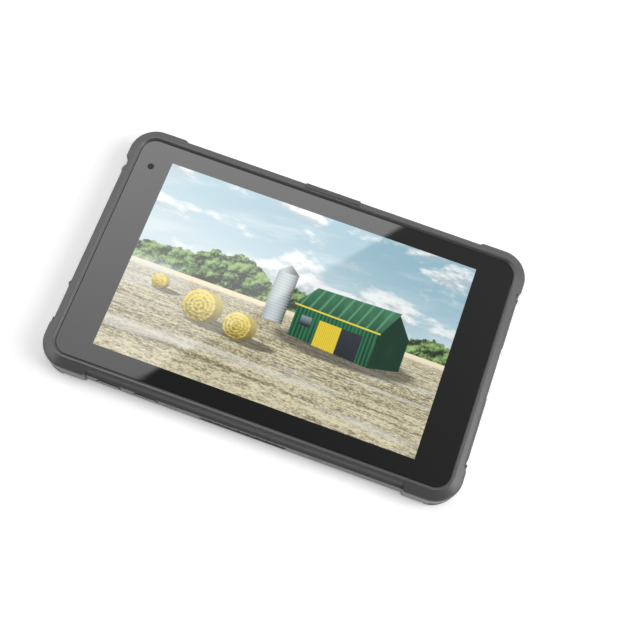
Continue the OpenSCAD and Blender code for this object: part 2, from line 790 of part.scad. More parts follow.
// A port's shell: its outline on the wall with a mouth, and a tongue where it has one
module port_shell(port, r, tongue) {
    translate([port[0], 0, port_z]) {
        difference() {
            through_wall(port_face - port[3], port_face) rounded_rect(port[1], port[2], r);
            through_wall(port_face - port[3] + 1.2, port_face + 1)
                rounded_rect(port[1] - 0.7, port[2] - 0.7, max(r - 0.35, 0.2));
        }
        translate([0, 0, tongue[2]]) through_wall(port_face - port[3] + 0.6, port_face - 1)
            square([tongue[0], tongue[1]], center = true);
    }
}

module usb_a_port() {
    color("#c4c7ca") side(LEFT) port_shell(usb_a, 0.5, [11.2, 1.9, 1]);
}

module hdmi_port() {
    color("#c4c7ca") side(LEFT) port_shell(hdmi, 0.6, [4.6, 0.6, 0]);
}

module usb_c_port() {
    color("#c4c7ca") side(LEFT) port_shell(usb_c, 1.55, [6.6, 0.7, 0]);
}

module audio_jack() {
    color("#202124") side(LEFT) translate([jack[0], 0, port_z]) difference() {
        through_wall(port_face - jack[3], port_face) rounded_rect(jack[1], jack[2], 0.6);
        translate([0, port_face + 1, 0]) rotate([90, 0, 0]) cylinder(r = 1.78, h = jack[3] - 1);
    }
}

module card_reader() {
    color("#b4b7ba") side(RIGHT) translate([-card[0], 0, port_z]) difference() {
        through_wall(port_face - card[3], port_face) rounded_rect(card[1], card[2], 0.5);
        for (z = [-0.8, 0.8]) translate([0, 0, z]) through_wall(port_face - card[3] + 1, port_face + 1)
            square([13, 0.9], center = true);
    }
}

module power_inlet() {
    color("#202124") side(RIGHT) translate([-inlet[0], 0, port_z]) {
        difference() {
            through_wall(port_face - inlet[3], port_face) rounded_rect(inlet[1], inlet[2], 0.5);
            translate([0, port_face + 1, 0]) rotate([90, 0, 0]) cylinder(r = 2.2, h = inlet[3] - 1);
        }
        translate([0, port_face - 1, 0]) rotate([90, 0, 0]) cylinder(r = 0.7, h = inlet[3] - 2);
    }
}

// ---------- Doors ----------

// A door drawn from its pin: x to the free end, y out of the wall to its face at d = out
module door(length, pin_at, out, tab_z1) {
    inner = out - door_t;
    mid_z = (door_z0 + door_z1) / 2;
    h = door_z1 - door_z0;
    tab_z0 = door_z0 + 1.4;
    difference() {
        union() {
            translate([0, 0, mid_z]) through_wall(inner, out)
                door_outline(0, length, h, door_corner);
            translate([0, pin_at, door_z0]) cylinder(r = knuckle_r, h = h);
            // Pull tab, proud of the wall so that a fingernail finds it in the notch
            translate([length - tab_w / 2, (out - 0.3 + tab_out) / 2, tab_z0])
                linear_extrude(tab_z1 - tab_z0) rounded_rect(tab_w, tab_out - out + 0.3, 0.25);
            // Two long pads pressed in the face
            for (z = [mid_z - 1.5, mid_z + 1.5]) translate([length / 2, 0, z])
                through_wall(out - 0.2, out + 0.15) pill(length - 14, 1);
        }
        translate([0, pin_at, door_z0 - 1]) cylinder(r = pin_r + pin_gap, h = h + 2);
        // Relief behind the knuckle, so that the door turns free of its pocket
        translate([-knuckle_r - 1, inner - 1, door_z0 - 1]) difference() {
            cube([knuckle_r + 1, door_t + 2.2, h + 2]);
            translate([knuckle_r + 1, pin_at - inner + 1, -1]) cylinder(r = knuckle_r, h = h + 4);
        }
    }
}

// Rubber frame bonded inside a door, which seals on the floor of the door's pocket
module door_seal(length, out) {
    mid_z = (door_z0 + door_z1) / 2;
    h = door_z1 - door_z0;
    translate([length / 2 + 1.2, 0, mid_z]) difference() {
        through_wall(pocket_floor + door_gap, out - door_t) rounded_rect(length - 5.4, h - 1.8, 1.5);
        through_wall(0, out) rounded_rect(length - 8, h - 4.2, 1);
    }
}

module hinge_pin() {
    translate([0, 0, parting_z + pin_end]) cylinder(r = pin_r, h = ear_z - parting_z - 2 * pin_end);
}

module at_io_hinge() {
    side(LEFT) translate([io_hinge_y, 0, 0]) children();
}

module at_card_hinge() {
    side(RIGHT) translate([-card_hinge_y, 0, 0]) mirror([1, 0, 0]) children();
}

module at_inlet_hinge() {
    side(RIGHT) translate([-inlet_hinge_y, 0, 0]) children();
}

module io_door() {
    color("#47494c") at_io_hinge() door(io_door_l, io_pin_d, io_out, door_tab_top);
}

module io_door_seal() {
    color("#252628") at_io_hinge() door_seal(io_door_l, io_out);
}

module io_door_pin() {
    color("#c9ccd0") at_io_hinge() translate([0, io_pin_d, 0]) hinge_pin();
}

module card_door() {
    color("#47494c") at_card_hinge() door(card_door_l, side_pin_d, side_out, door_tab_top);
}

module card_door_seal() {
    color("#252628") at_card_hinge() door_seal(card_door_l, side_out);
}

module card_door_pin() {
    color("#c9ccd0") at_card_hinge() translate([0, side_pin_d, 0]) hinge_pin();
}

module inlet_door() {
    color("#47494c") at_inlet_hinge()
        door(inlet_door_l, side_pin_d, side_out, inlet_tab_top);
}

module inlet_door_seal() {
    color("#252628") at_inlet_hinge() door_seal(inlet_door_l, side_out);
}

module inlet_door_pin() {
    color("#c9ccd0") at_inlet_hinge() translate([0, side_pin_d, 0]) hinge_pin();
}

// ---------- Keys ----------

// A key's face, its neck through the wall and the flange that keeps it in
module key_body() {
    through_wall(flange_d, rim_w + key_proud) pill(key_w, key_h);
    through_wall(flange_d - flange_t, flange_d)
        pill(key_w + 2 * key_flange, key_h + 2 * key_flange);
}

module power_key() {
    color("#3a3c3f") side(FRONT) translate([power_key_x, 0, key_z]) difference() {
        key_body();
        translate([0, rim_w + key_proud + 5.85, 0]) sphere(r = 6, $fn = 48);
    }
}

module volume_rocker() {
    color("#3a3c3f") side(FRONT) translate([rocker_x, 0, key_z]) difference() {
        union() {
            key_body();
            translate([-1.1, rocker_pin_d - 0.9, -1.4])
                cube([2.2, flange_d - flange_t - rocker_pin_d + 1.1, 2.8]);
        }
        translate([0, rocker_pin_d, -5]) cylinder(r = rocker_pin_r + pin_gap, h = 10);
        translate([-0.2, rim_w + key_proud - 0.25, -key_h]) cube([0.4, 1, 2 * key_h]);
    }
}

module rocker_pin() {
    color("#c9ccd0") side(FRONT) translate([rocker_x, rocker_pin_d, key_z - 2.3])
        cylinder(r = rocker_pin_r, h = 4.6);
}

// Steel strip that carries the key board and holds the rocker's pin
module key_bracket() {
    color("#aeb1b5") side(FRONT) difference() {
        union() {
            translate([rocker_x - key_board_over, key_board_d - bracket_t, key_z - 3.9])
                cube([key_board_l, bracket_t, chassis_z - key_z + 3.9]);
            for (z = [-1, 1]) translate([rocker_x - 1, key_board_d - 0.4, key_z + z * 2 - 0.4])
                cube([2, flange_d - flange_t - 0.15 - key_board_d + 0.4, bracket_t]);
        }
        translate([rocker_x, rocker_pin_d, key_z - 3]) cylinder(r = rocker_pin_r, h = 6);
    }
}

module key_board() {
    color("#1f5a3a") side(FRONT) difference() {
        translate([rocker_x - key_board_over, key_board_d, key_z - 3.1])
            cube([key_board_l, key_board_t, chassis_z - key_z + 2.9]);
        translate([rocker_x - 1.4, key_board_d - 1, key_z - 2.8]) cube([2.8, 3, 5.6]);
    }
}

module key_switches() {
    top = flange_d - flange_t - key_travel - 0.15;
    color("#d0d2d4") side(FRONT)
        for (x = [rocker_x - rocker_half, rocker_x + rocker_half, power_key_x])
            translate([x, 0, key_z]) {
                through_wall(key_board_d + key_board_t, top - 0.3) square([3.4, 3], center = true);
                through_wall(top - 0.4, top) circle(0.8);
            }
}

// ---------- Dock ----------

module dock_connector() {
    color("#242527") side(FRONT) difference() {
        union() {
            translate([0, 0, port_z]) through_wall(wall_in, dock_face)
                rounded_rect(dock_w, dock_h, dock_r);
            translate([0, 0, port_z]) through_wall(wall_in - 1.2, wall_in)
                rounded_rect(dock_w + 2, dock_h + 1, 0.8);
        }
        for (p = dock_places) translate([p[0], 0, p[1]])
            through_wall(wall_in - 2, rim_w) circle(contact_r);
    }
}

module dock_contacts() {
    color("#d9b45a") side(FRONT) for (p = dock_places) translate([p[0], 0, p[1]])
        through_wall(wall_in - 1.2, dock_face - contact_sunk) circle(contact_r);
}

module dock_guides() {
    color("#b9bcc0") side(FRONT) difference() {
        intersection() {
            guide_holes(guide_wall, guide_depth + guide_wall);
            translate([0, 0, guide_z])
                cube([3 * guide_x, 2 * rim_w - 0.1, 3 * guide_h], center = true);
        }
        guide_holes(0, guide_depth);
    }
}

module back_grip_pad() {
    color("#2f3133") side(BACK) difference() {
        bar(2 * pad_half) pad_profile(0);
        // Grooves along the pad
        for (i = [0:3]) translate([0, rim_w + pad_proud + 0.15, pad_foot + 1.4 + i * 2])
            rotate([0, 90, 0])
                cylinder(r = 0.4, h = 2 * pad_half + 2, center = true);
    }
}

// ---------- Rear camera, speaker, fasteners ----------

module rear_camera() {
    color("#1c1d20") translate([rear_cam[0], rear_cam[1], 0]) {
        translate([0, 0, rear_floor_z + 0.3]) cylinder(r = 3.2, h = 2.2);
        translate([-rear_cam_module / 2, -rear_cam_module / 2, rear_floor_z + 2.3])
            cube([rear_cam_module, rear_cam_module, 3.7]);
        translate([-rear_cam_module / 2 - 0.4, -rear_cam_module / 2 - 0.4, rear_floor_z + 6])
            cube([flash_dx + 7, rear_cam_module + 0.8, 0.8]);
        for (x = [-3, flash_dx]) translate([x, 0, rear_floor_z + 6.7])
            cylinder(r = 1.5, h = chassis_z - rear_floor_z - 6.7);
        translate([flash_dx - 1.5, -1.5, rear_floor_z + 4.6]) cube([3, 3, 1.5]);
    }
}

module camera_window() {
    color("#101114") translate([rear_cam[0], rear_cam[1], foot_h + 0.1])
        cylinder(r = rear_cam_r, h = 0.7);
}

module flash_guide() {
    color("#e8e6dc") translate([rear_cam[0] + flash_dx, rear_cam[1], foot_h + 0.1])
        cylinder(r = flash_r, h = floor_t + 4.4);
}

module speaker() {
    color("#26282b") translate([speaker_c[0], speaker_c[1], rear_floor_z]) {
        linear_extrude(1) rounded_rect(speaker_l, speaker_w, 1.5);
        translate([0, 0, 0.8]) linear_extrude(speaker_t - 0.8)
            rounded_rect(speaker_l - 2, speaker_w - 2, 1.2);
    }
}

module speaker_mesh() {
    color("#8b8e92") translate([speaker_c[0], speaker_c[1], rear_floor_z - mesh_t])
        linear_extrude(mesh_t) rounded_rect(speaker_l, speaker_w, 1.5);
}

module rear_screws() {
    color("#8f9296") for (p = screw_places) translate([p[0], p[1], 0]) difference() {
        union() {
            translate([0, 0, foot_h + 0.3]) cylinder(r = screw_head_r, h = screw_head_t);
            translate([0, 0, foot_h + 1]) cylinder(r = screw_r, h = screw_top - foot_h - 1);
        }
        translate([0, 0, foot_h - 0.5]) cylinder(r = 1.2, h = 1.7, $fn = 6);
    }
}

module mount_inserts() {
    color("#c9a24a") for (x = [-1, 1], y = [-1, 1])
        translate([x * mount_dx / 2, y * mount_dy / 2, foot_h + 0.2]) difference() {
            cylinder(r = insert_r, h = insert_l);
            translate([0, 0, -1]) cylinder(r = mount_hole_r, h = insert_l + 2);
        }
}

front_frame();
rear_housing();
housing_seal();
guard(-1, -1);  // guard_front_left
guard(1, -1);  // guard_front_right
guard(-1, 1);  // guard_back_left
guard(1, 1);  // guard_back_right
cover_glass();
glass_gasket();
display_panel();
chassis_plate();
chassis_screws();
front_camera();
microphone();
main_board();
shield_cans();
sub_board();
battery_pack();
usb_a_port();
hdmi_port();
usb_c_port();
audio_jack();
card_reader();
power_inlet();
io_door();
io_door_seal();
io_door_pin();
card_door();
card_door_seal();
card_door_pin();
inlet_door();
inlet_door_seal();
inlet_door_pin();
power_key();
volume_rocker();
rocker_pin();
key_bracket();
key_board();
key_switches();
dock_connector();
dock_contacts();
dock_guides();
back_grip_pad();
rear_camera();
camera_window();
flash_guide();
speaker();
speaker_mesh();
rear_screws();
mount_inserts();
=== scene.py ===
import math

import bpy
from mathutils import Matrix, Vector
from mathutils.bvhtree import BVHTree


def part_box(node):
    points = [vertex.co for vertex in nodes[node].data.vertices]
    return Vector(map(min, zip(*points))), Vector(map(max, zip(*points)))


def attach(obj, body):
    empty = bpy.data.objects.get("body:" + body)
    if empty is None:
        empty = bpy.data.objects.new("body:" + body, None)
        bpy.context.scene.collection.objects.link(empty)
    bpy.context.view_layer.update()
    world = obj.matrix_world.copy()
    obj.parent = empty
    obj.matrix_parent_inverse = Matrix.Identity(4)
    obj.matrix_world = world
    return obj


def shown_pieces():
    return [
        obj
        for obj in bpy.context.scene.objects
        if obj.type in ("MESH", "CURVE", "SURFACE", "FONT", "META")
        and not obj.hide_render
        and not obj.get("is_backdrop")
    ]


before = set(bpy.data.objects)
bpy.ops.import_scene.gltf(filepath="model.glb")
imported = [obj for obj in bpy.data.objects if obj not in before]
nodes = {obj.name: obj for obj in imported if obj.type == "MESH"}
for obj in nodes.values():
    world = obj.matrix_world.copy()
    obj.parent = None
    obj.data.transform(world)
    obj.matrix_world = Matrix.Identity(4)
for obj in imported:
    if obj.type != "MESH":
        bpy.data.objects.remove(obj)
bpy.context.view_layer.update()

scene = bpy.context.scene


# ---------- Camera and image points ----------
# The tablet lies on a table and is seen from above its front edge, a little to the right.
# The camera was fitted to the straight edges of its glass and screen.

PHOTO = 640  # the frame's width and height in pixels
IMAGE_POINTS = {
    "left": (43.6, None),
    "right": (524.6, None),
    "top": (None, 131.9),
    "bottom": (None, 505.7),
    "picture_top_left": (170.6, 162.6),
    "picture_top_right": (475.2, 268.7),
    "picture_bottom_right": (415.1, 459.8),
    "picture_bottom_left": (95.1, 344.0),
    "camera_lens": (150.8, 166.4),
    "microphone_hole": (511.9, 281.8),
    "power_key": (106.8, 382.4),
    "volume_rocker": (144.7, 396.5),
    "guide_slot_left": (170.2, 406.5),
    "guide_slot_right": (314.3, 459.5),
    "grip_pad": (331.6, 192.7),
    "port_door_tab": (122.3, 168.0),
    "port_door_knuckle": (68.5, 283.3),
    "card_door_tab": (518.3, 301.5),
}

glass_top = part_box("cover_glass")[1].z
camera_place = Vector((0.04238, -0.16292, glass_top + 0.50643))
camera_aim = Vector((0.01712, -0.00163, glass_top))
camera_roll = math.radians(11.0454)

bpy.ops.object.camera_add(location=camera_place)
camera = bpy.context.object
camera.name = "photo_camera"
camera.data.lens = 57.8967
camera.data.sensor_width = 36
camera.data.sensor_fit = "AUTO"
camera.data.clip_start = 0.01
camera.data.clip_end = 20
turn = (camera_aim - camera_place).to_track_quat("-Z", "Y").to_matrix()
camera.rotation_euler = (turn @ Matrix.Rotation(camera_roll, 3, "Z")).to_euler()
scene.camera = camera
scene.view_settings.view_transform = "Standard"
bpy.context.view_layer.update()
pixels_deep = PHOTO * camera.data.lens / camera.data.sensor_width


def ray(point):
    """Where a point of the photo's frame looks from, and in which direction."""
    x = point[0] - PHOTO / 2 + camera.data.shift_x * PHOTO
    y = PHOTO / 2 - point[1] + camera.data.shift_y * PHOTO
    way = camera.matrix_world.to_3x3() @ Vector((x, y, -pixels_deep))
    return camera.matrix_world.translation, way.normalized()


def place_on(carrier, point):
    """The place and the normal where a point of the photo's frame meets a finished mesh."""
    tree = BVHTree.FromObject(carrier, bpy.context.evaluated_depsgraph_get())
    start, way = ray(point)
    hit, normal, _, _ = tree.ray_cast(start, way)
    if hit is None:
        nearest = tree.find_nearest(start + way * (camera_aim - camera_place).length)
        hit, normal = nearest[0], nearest[1]
    return hit, normal


# ---------- Rear housing and its rubber guards ----------
# The lower shell is a black glass-filled moulding, screwed up into the frame. Four rubber
# guards are pressed over its corners; their undersides are the feet that the tablet rests on.


class Wire:
    """A value in a shader's node tree. Sums, products and powers of wires become Math nodes."""

    def __init__(self, tree, socket):
        self.tree = tree
        self.socket = socket

    def math(self, operation, *others):
        node = self.tree.nodes.new("ShaderNodeMath")
        node.operation = operation
        for slot, value in zip(node.inputs, (self,) + others):
            if isinstance(value, Wire):
                self.tree.links.new(value.socket, slot)
            else:
                slot.default_value = value
        return Wire(self.tree, node.outputs[0])

    def __add__(self, other):
        return self.math("ADD", other)

    def __sub__(self, other):
        return self.math("SUBTRACT", other)

    def __rsub__(self, other):
        return (self * -1) + other

    def __mul__(self, other):
        return self.math("MULTIPLY", other)

    def __truediv__(self, other):
        return self.math("DIVIDE", other)

    def over(self, low, high):
        """0 below low, 1 above high, smooth between them; it falls where low is the larger."""
        node = self.tree.nodes.new("ShaderNodeMapRange")
        node.interpolation_type = "SMOOTHSTEP"
        self.tree.links.new(self.socket, node.inputs["Value"])
        node.inputs["From Min"].default_value = low
        node.inputs["From Max"].default_value = high
        return Wire(self.tree, node.outputs["Result"])


class Finish:
    """A new material: its node tree, its Principled shader and what the finishes share."""

    def __init__(self, name, **sockets):
        self.material = bpy.data.materials.new(name)
        self.material.use_nodes = True
        self.tree = self.material.node_tree
        self.shader = self.tree.nodes["Principled BSDF"]
        for key, value in sockets.items():
            self.shader.inputs[key.replace("_", " ")].default_value = value
        self.place = self.add("ShaderNodeTexCoord").outputs["Object"]

    def add(self, kind, inputs=None, **settings):
        """A new node, with its settings and what goes into its inputs."""
        node = self.tree.nodes.new(kind)
        for key, value in settings.items():
            setattr(node, key, value)
        for key, value in (inputs or {}).items():
            self.feed(node.inputs[key], value)
        return node

    def feed(self, socket, value):
        """Gives a socket a wire, another node's output or a plain value."""
        if isinstance(value, Wire):
            value = value.socket
        if isinstance(value, bpy.types.NodeSocket):
            self.tree.links.new(value, socket)
        else:
            socket.default_value = value

    def wire(self, socket):
        return Wire(self.tree, socket)

    def axes(self):
        """The object's x, y and z."""
        split = self.add("ShaderNodeSeparateXYZ", {0: self.place})
        return [self.wire(split.outputs[i]) for i in range(3)]

    def point(self, x, y, z=0.0):
        return self.add("ShaderNodeCombineXYZ", {0: x, 1: y, 2: z}).outputs[0]

    def noise(self, scale, detail=2.0, rough=0.5, place=None, distort=0.0):
        node = self.add("ShaderNodeTexNoise", {
            "Vector": place or self.place, "Scale": scale, "Detail": detail,
            "Roughness": rough, "Distortion": distort})
        return self.wire(node.outputs["Fac"])

    def stretched(self, x, y, z):
        """The object's coordinates, longer or shorter along each axis."""
        return self.add("ShaderNodeMapping", {"Vector": self.place, "Scale": (x, y, z)}).outputs[0]

    def blend(self, share, first, second):
        """A colour between two colours."""
        node = self.add("ShaderNodeMix", {0: share}, data_type="RGBA")
        self.feed(node.inputs[6], first)
        self.feed(node.inputs[7], second)
        return node.outputs[2]

    def between(self, share, low, high):
        """A number between two numbers."""
        return share * (high - low) + low

    def bump(self, height, depth, strength=1.0, round_edges=0.0):
        """Bumps of a depth in metres, over edges that are rounded by a radius in metres."""
        inputs = {"Height": height, "Distance": depth, "Strength": strength}
        if round_edges:
            edge = self.add("ShaderNodeBevel", {"Radius": round_edges}, samples=4)
            inputs["Normal"] = edge.outputs[0]
        self.feed(self.shader.inputs["Normal"], self.add("ShaderNodeBump", inputs).outputs[0])


def grey(level, tint=(1.0, 1.0, 1.0)):
    """A colour given as the brightness, from 0 to 255, that it shows in plain light."""
    linear = ((level / 255 + 0.055) / 1.055) ** 2.4  # the sRGB curve
    return (linear * tint[0], linear * tint[1], linear * tint[2], 1.0)


def moulded_finish(name, level, rough, grain, depth, tint=(1.0, 1.0, 1.0), satin=False):
    """Moulded plastic or rubber: fine eroded grain, faint flow clouds and rubbed specks."""
    new = Finish(name, Specular_IOR_Level=0.0 if satin else 0.35,
                 Coat_Weight=0.9 if satin else 0.0, Coat_Roughness=0.3)
    fine = new.noise(grain, 3.0, 0.62)
    cloud = new.noise(38.0, 4.0, 0.55)
    speck = new.noise(grain * 0.42, 2.0, 0.6).over(0.60, 0.76)
    body = new.blend(cloud, grey(level * 0.95, tint), grey(level * 1.06, tint))
    body = new.blend(speck * 0.20, body, grey(level * 1.45, tint))
    new.feed(new.shader.inputs["Base Color"], body)
    worn = new.between(cloud * 0.6 + fine * 0.4, rough - 0.07, rough + 0.09)
    new.feed(new.shader.inputs["Roughness"], worn)
    new.bump(fine, depth, 0.55, 0.0002)
    return new.material


def paint(material, *names):
    """Gives CAD nodes their finish."""
    for name in names:
        nodes[name].data.materials.clear()
        nodes[name].data.materials.append(material)


rear_plastic = moulded_finish("rear housing plastic", 62, 0.52, 2600.0, 0.00006)
guard_rubber = moulded_finish("guard rubber", 66, 0.74, 1900.0, 0.00005)
paint(rear_plastic, "rear_housing")
paint(guard_rubber, "guard_front_left", "guard_front_right", "guard_back_left", "guard_back_right")


# ---------- Front frame ----------
# One moulding of dark grey polycarbonate with soft overmoulded corners: the rim round the
# glass, the four bumpers, the side walls and the hollow for the fingers along the front.

frame_plastic = moulded_finish("front frame plastic", 71, 0.50, 2300.0, 0.00007, satin=True)
paint(frame_plastic, "front_frame")


# ---------- Cover glass and lit picture ----------
# A sheet of hardened glass, printed black on its back apart from the window of the display.
# The picture is a made-up farm view: clouds, trees, a silo, a green shed and straw bales.

window_w = 0.1722
window_h = 0.1076
window_x = -0.0006
window_y = 0.0001
window_aspect = window_w / window_h
horizon = 0.475
soft_edge = 0.0015


def farm_picture(art):
    """The picture's colour, and where it is lit; u and v run from 0 to 1 along and up it."""
    x, y, _ = art.axes()
    u = (x - window_x) / window_w + 0.5
    v = (y - window_y) / window_h + 0.5
    across = u * window_aspect

    def shape(*corners):
        """1 inside a shape with straight sides, whose corners go round clockwise."""
        mask = None
        for (ax, ay), (bx, by) in zip(corners, corners[1:] + corners[:1]):
            length = math.hypot(bx - ax, by - ay)
            side = (across - ax) * ((by - ay) / length) - (v - ay) * ((bx - ax) / length)
            mask = side if mask is None else mask.math("MINIMUM", side)
        return mask.over(-soft_edge, soft_edge)

    def within(cx, cy, radius, squash=1.0):
        """How far inside a disc, or an oval squashed to a lower height, a place lies."""
        wide = across - cx
        high = (v - cy) * squash
        return (wide * wide + high * high).math("SQRT") * -1 + radius

    # Sky, deeper blue to the top right, under banks of cloud whose tops catch the light
    pale_blue, deep_blue = grey(220, (0.82, 1.0, 1.06)), grey(184, (0.60, 0.99, 1.19))
    cloud_shade, cloud_lit = grey(192, (0.84, 0.98, 1.05)), grey(246, (0.98, 1.0, 0.99))
    blueness = (v.over(horizon, 1.0) * 0.5 + u * 0.5).over(0.05, 0.95)
    sky = art.blend(blueness, pale_blue, deep_blue)

    def cloud(lift):
        """How thick the cloud is, a little way above each place."""
        up = v + lift
        bank = art.noise(1.7, 2.0, 0.5, art.point(across, up * 2.4, 1.7), 0.3)
        puff = art.noise(3.6, 9.0, 0.58, art.point(across, up * 2.0, 6.2), 0.12)
        return bank * 0.55 + puff * 0.65

    here = cloud(0.0)
    sunny = ((here - cloud(0.03)) * 10.0 + 0.5).over(0.0, 1.0)
    billow = art.blend(sunny, cloud_shade, cloud_lit)
    sky = art.blend(here.over(0.565, 0.66) * 0.9, sky, billow)
    veil = art.noise(2.4, 5.0, 0.6, art.point(across, v * 5.0 - across * 0.6, 9.0), 0.3)
    sky = art.blend(veil.over(0.48, 0.72) * 0.35, sky, grey(236, (0.96, 1.0, 1.01)))

    # Trees along the horizon: round crowns lit from the upper left, with dark gaps
    leaf_shade, leaf_lit = grey(44, (0.42, 1.0, 0.46)), grey(168, (0.68, 1.08, 0.36))
    leaf_glint, far_haze = grey(196, (0.72, 1.04, 0.40)), grey(170, (0.80, 1.0, 0.90))
    sway = art.noise(26.0, 4.0, 0.6, art.point(across, v, 7.1)) * 0.035

    def crowns(scale, seed, step=0.0):
        """How far from the middle of its crown a place lies, or one a step to its upper left."""
        place = art.point(across - step + sway, (v + step) * 1.2 + sway, seed)
        cells = art.add("ShaderNodeTexVoronoi", {"Vector": place, "Scale": scale})
        return art.wire(cells.outputs["Distance"])

    ridge = art.noise(1.45, 1.0, 0.4, art.point(across, 0.0, 0.9)).over(0.40, 0.70)
    domes = art.add("ShaderNodeTexVoronoi", {"Vector": art.point(across, 0.0, 2.6), "Scale": 5.5})
    dome = art.wire(domes.outputs["Distance"]).math("POWER", 2.0) * -0.085
    twigs = art.noise(34.0, 4.0, 0.65, art.point(across, v * 0.8, 8.8))
    top = ridge * 0.15 + dome + twigs * 0.07 + (horizon + 0.075)
    leaf = art.noise(70.0, 6.0, 0.70, art.point(across, v * 1.1, 2.2))
    facing = (crowns(13.0, 5.5, 0.014) - crowns(13.0, 5.5)) * 1.1
    facing = facing + (crowns(34.0, 1.5, 0.007) - crowns(34.0, 1.5)) * 0.7
    light = (facing + leaf * 1.5 + (v - top) * 1.6).over(0.34, 1.02)
    trees = art.blend(light, leaf_shade, leaf_lit)
    glints = (leaf + facing * 0.5).over(0.62, 0.76)
    trees = art.blend(glints * 0.7, trees, leaf_glint)
    distance = art.noise(1.9, 2.0, 0.5, art.point(across, 0.0, 9.9)).over(0.40, 0.72)
    trees = art.blend(distance * 0.22, trees, far_haze)
    view = art.blend((top - v).over(-0.003, 0.004), sky, trees)

    # Ploughed field, with its noises laid on the ground so that they shrink to the horizon
    soil_dark, soil_pale = grey(118, (1.04, 0.88, 0.54)), grey(216, (1.04, 0.95, 0.66))
    clod_lit, furrow = grey(232, (1.0, 0.98, 0.86)), grey(96, (1.05, 0.88, 0.62))
    dried, green_shoot = grey(216, (0.98, 1.0, 0.93)), grey(120, (0.72, 1.05, 0.35))
    straw_dull, straw_bright = grey(216, (1.06, 0.90, 0.58)), grey(246, (1.03, 0.95, 0.74))
    below = horizon - v
    near = (below + 0.05).math("POWER", -1.0)
    ground = (across - 0.3) * near
    rows = art.noise(1.0, 4.0, 0.62, art.point(ground * 0.35, near * 6.0 + ground * 0.5, 0.3))
    clods = art.noise(1.0, 9.0, 0.70, art.point(ground * 5.0, near * 13.0, 1.1))
    crumbs = art.noise(84.0, 5.0, 0.74, art.point(across * 0.7, v * 2.0, 6.6))
    tilth = (rows * 0.75 + clods * 0.75 + crumbs * 1.15).over(1.12, 1.52)
    soil = art.blend(tilth, soil_dark, soil_pale)
    soil = art.blend((crumbs * 0.6 + clods * 0.5).over(0.62, 0.74) * 0.5, soil, clod_lit)
    soil = art.blend((crumbs * 0.7 + clods * 0.4).over(0.47, 0.36) * 0.75, soil, furrow)
    dry = art.noise(1.0, 3.0, 0.5, art.point(ground * 0.3, near * 1.7, 4.9)).over(0.54, 0.62)
    soil = art.blend(dry * 0.45, soil, dried)
    shoots = art.noise(26.0, 2.0, 0.5, art.point(across, v * 1.6, 3.7)).over(0.73, 0.80)
    soil = art.blend(shoots * 0.6, soil, green_shoot)
    stubble = art.blend(crumbs, straw_dull, straw_bright)
    soil = art.blend(below.over(0.016, 0.034), stubble, soil)
    view = art.blend(below.over(-0.002, 0.002), view, soil)

    # A low bank of mist over the field at the left
    drift = art.noise(3.2, 5.0, 0.6, art.point(across, v * 2.6, 5.1), 0.4)
    mist = within(0.02, 0.42, 0.42, 3.4).over(0.0, 0.34) * drift.over(0.30, 0.62)
    view = art.blend(mist * 0.55, view, grey(232, (0.96, 1.0, 1.0)))

    # Steel silo behind the shed: a ribbed cylinder under a cone, shaded across its width
    silo_x, silo_r, silo_foot, silo_top, cone_h = 0.745, 0.052, 0.40, 0.655, 0.045
    eave_r = silo_r * 1.1
    steel_shade, steel_lit = grey(70, (0.80, 1.0, 1.05)), grey(226, (0.90, 1.0, 1.02))
    cone_lit, cone_shade = grey(196, (0.92, 1.0, 1.0)), grey(96, (0.85, 1.0, 1.05))
    turned = (across - silo_x) / silo_r
    hoops = (v * 420.0).math("SINE").over(-1.0, 1.0)
    steel_tone = (turned * turned) * -0.55 + turned * -0.22 + hoops * 0.12 + 0.72
    drum = shape((silo_x - silo_r, silo_foot), (silo_x - silo_r, silo_top),
                 (silo_x + silo_r, silo_top), (silo_x + silo_r, silo_foot))
    view = art.blend(drum, view, art.blend(steel_tone, steel_shade, steel_lit))
    cone = shape((silo_x - eave_r, silo_top), (silo_x, silo_top + cone_h),
                 (silo_x + eave_r, silo_top))
    view = art.blend(cone, view, art.blend(turned.over(-0.6, 0.7), cone_lit, cone_shade))

    # Green shed: a long ribbed wall, a gable end in shade, a roof and a yellow sliding door
    foot_left, foot_corner, foot_right = (0.84, 0.362), (1.25, 0.335), (1.40, 0.368)
    top_left, top_corner, top_right = (0.84, 0.535), (1.25, 0.530), (1.40, 0.535)
    gable = (1.325, 0.640)
    green_dark, green_lit = grey(58, (0.10, 1.0, 0.44)), grey(116, (0.16, 1.0, 0.46))
    end_dark, end_lit = grey(40, (0.14, 1.0, 0.55)), grey(66, (0.16, 1.0, 0.50))
    roof_dark, roof_lit = grey(84, (0.20, 1.0, 0.50)), grey(150, (0.34, 1.0, 0.55))
    inside_dark, inside_lit = grey(26, (0.8, 0.95, 1.3)), grey(64, (0.8, 0.95, 1.25))
    yellow_dull, yellow_lit = grey(184, (1.12, 0.82, 0.03)), grey(236, (1.12, 0.88, 0.08))
    pane_dark, pane_lit = grey(40, (0.7, 1.0, 1.3)), grey(150, (0.78, 1.0, 1.1))
    trim_yellow, ground_shade = grey(222, (1.10, 0.88, 0.10)), grey(74, (1.0, 0.92, 0.76))

